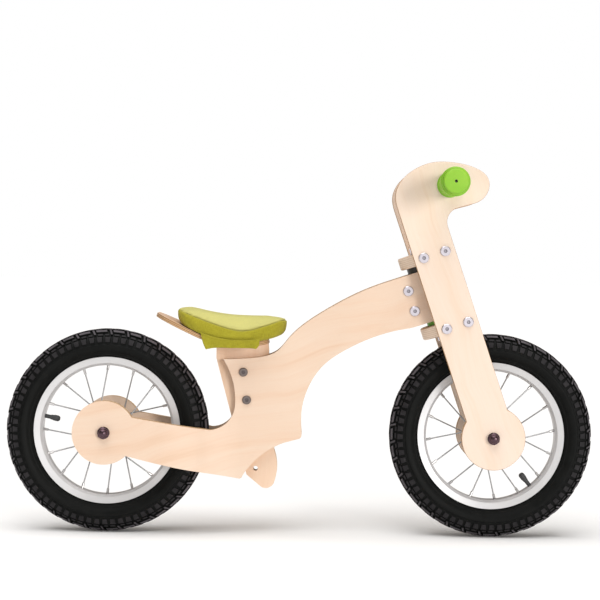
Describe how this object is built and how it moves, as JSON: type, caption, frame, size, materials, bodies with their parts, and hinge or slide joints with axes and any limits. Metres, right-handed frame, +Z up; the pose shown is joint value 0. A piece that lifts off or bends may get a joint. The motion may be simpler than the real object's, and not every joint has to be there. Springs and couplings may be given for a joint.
{
  "type": "balance bike",
  "caption": "Child's pedal-free balance bike with plywood frame and fork, spoked pneumatic wheels, turning fork with ribbed grips and height-adjustable padded saddle.",
  "frame": {"origin": "on the ground under the middle of the bike, midway between the axles, on the centre plane", "axes": "+X forward, +Y to the rider's left, +Z up"},
  "size_m": [0.872, 0.326, 0.5548],
  "materials": {
    "frame_ply": "clear satin lacquered birch plywood",
    "fork_ply": "clear satin lacquered birch plywood",
    "thick_ply": "clear satin lacquered birch plywood",
    "board_ply": "clear satin lacquered bent plywood",
    "cushion_fabric": "woven olive-lime fabric",
    "green_rubber": "soft matt rubber",
    "black_plastic": "moulded nylon",
    "green_plastic": "moulded nylon",
    "tyre_rubber": "moulded tyre rubber",
    "tube_rubber": "butyl rubber",
    "tape_plastic": "rubber strip",
    "rim_alloy": "satin silver alloy",
    "hub_alloy": "polished alloy",
    "spoke_steel": "galvanised steel wire",
    "valve_plastic": "rubber stem and plastic cap",
    "dark_steel": "dark plated steel",
    "bright_steel": "zinc plated steel"
  },
  "bodies": {
    "frame": {"frame_side_left": "frame_ply", "frame_side_right": "frame_ply", "head_block": "thick_ply", "head_bolts": "bright_steel", "head_sleeve_nuts": "bright_steel", "upper_steering_bush": "black_plastic", "lower_steering_bush": "green_plastic", "seat_clamp_bolts": "dark_steel", "seat_clamp_nuts": "dark_steel", "rear_axle": "bright_steel", "rear_axle_nuts": "dark_steel", "rear_axle_washers": "bright_steel", "rear_bearing_inner_rings": "bright_steel", "rear_axle_spacers": "bright_steel"},
    "fork": {"fork_side_left": "fork_ply", "fork_side_right": "fork_ply", "crown_plate_lower": "thick_ply", "crown_plate_upper": "thick_ply", "crown_bolts": "bright_steel", "steering_bolt": "bright_steel", "steering_washers": "bright_steel", "steering_nut": "bright_steel", "handlebar": "bright_steel", "grip_left": "green_rubber", "grip_right": "green_rubber", "front_axle": "bright_steel", "front_axle_nuts": "dark_steel", "front_axle_washers": "bright_steel", "front_bearing_inner_rings": "bright_steel", "front_axle_spacers": "bright_steel"},
    "rear_wheel": {"rear_tyre": "tyre_rubber", "rear_inner_tube": "tube_rubber", "rear_rim_tape": "tape_plastic", "rear_rim": "rim_alloy", "rear_spokes": "spoke_steel", "rear_spoke_nipples": "spoke_steel", "rear_hub_shell": "hub_alloy", "rear_bearing_outer_rings": "bright_steel", "rear_valve_stem": "valve_plastic", "rear_valve_cap": "valve_plastic"},
    "front_wheel": {"front_tyre": "tyre_rubber", "front_inner_tube": "tube_rubber", "front_rim_tape": "tape_plastic", "front_rim": "rim_alloy", "front_spokes": "spoke_steel", "front_spoke_nipples": "spoke_steel", "front_hub_shell": "hub_alloy", "front_bearing_outer_rings": "bright_steel", "front_valve_stem": "valve_plastic", "front_valve_cap": "valve_plastic"},
    "seat": {"seat_post": "thick_ply", "saddle_board": "board_ply", "saddle_bolts": "bright_steel", "saddle_barrel_nuts": "bright_steel", "saddle_cushion": "cushion_fabric", "cover_flaps": "cushion_fabric"}
  },
  "joints": [
    {"name": "steering", "type": "hinge", "parent": "frame", "child": "fork", "pos_m": [0.19517, 0, 0.35282], "axis": [-0.3223, 0, 0.9466], "range_deg": [-30, 30]},
    {"name": "rear_wheel_spin", "type": "hinge", "parent": "frame", "child": "rear_wheel", "pos_m": [-0.285, 0, 0.151], "axis": [0, 1, 0], "continuous": true},
    {"name": "front_wheel_spin", "type": "hinge", "parent": "fork", "child": "front_wheel", "pos_m": [0.285, 0, 0.151], "axis": [0, 1, 0], "continuous": true},
    {"name": "seat_height", "type": "slide", "parent": "frame", "child": "seat", "axis": [-0.1357, 0, 0.9907], "range_m": [0, 0.075]}
  ]
}
